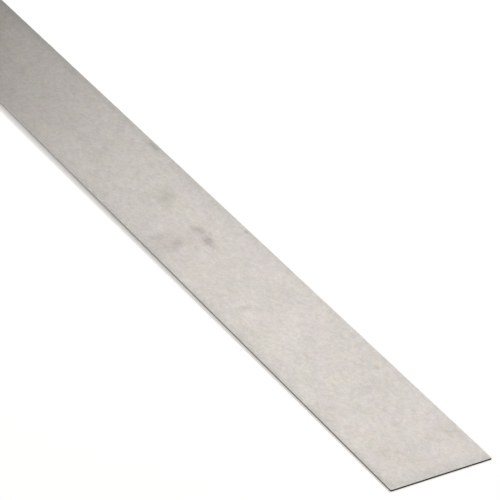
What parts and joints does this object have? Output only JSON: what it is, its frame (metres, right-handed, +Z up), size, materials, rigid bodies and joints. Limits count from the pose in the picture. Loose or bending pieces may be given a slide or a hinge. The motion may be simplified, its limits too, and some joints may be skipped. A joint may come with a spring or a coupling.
{
  "type": "flat bar",
  "caption": "Long thin steel flat bar of rectangular section, with slit long edges and sheared square ends, for cutting, drilling and bending into straps, brackets and shims.",
  "frame": {"origin": "centre of the bottom face, which the bar lies on", "axes": "+X along the length, +Y across the width, +Z up through the thickness to the face that has the roll-over"},
  "size_m": [0.9144, 0.0508, 0.0008],
  "materials": {
    "mill_steel": "matte cold-rolled mill finish with faint handling stains"
  },
  "bodies": {
    "root": {"flat_bar": "mill_steel"}
  },
  "joints": []
}
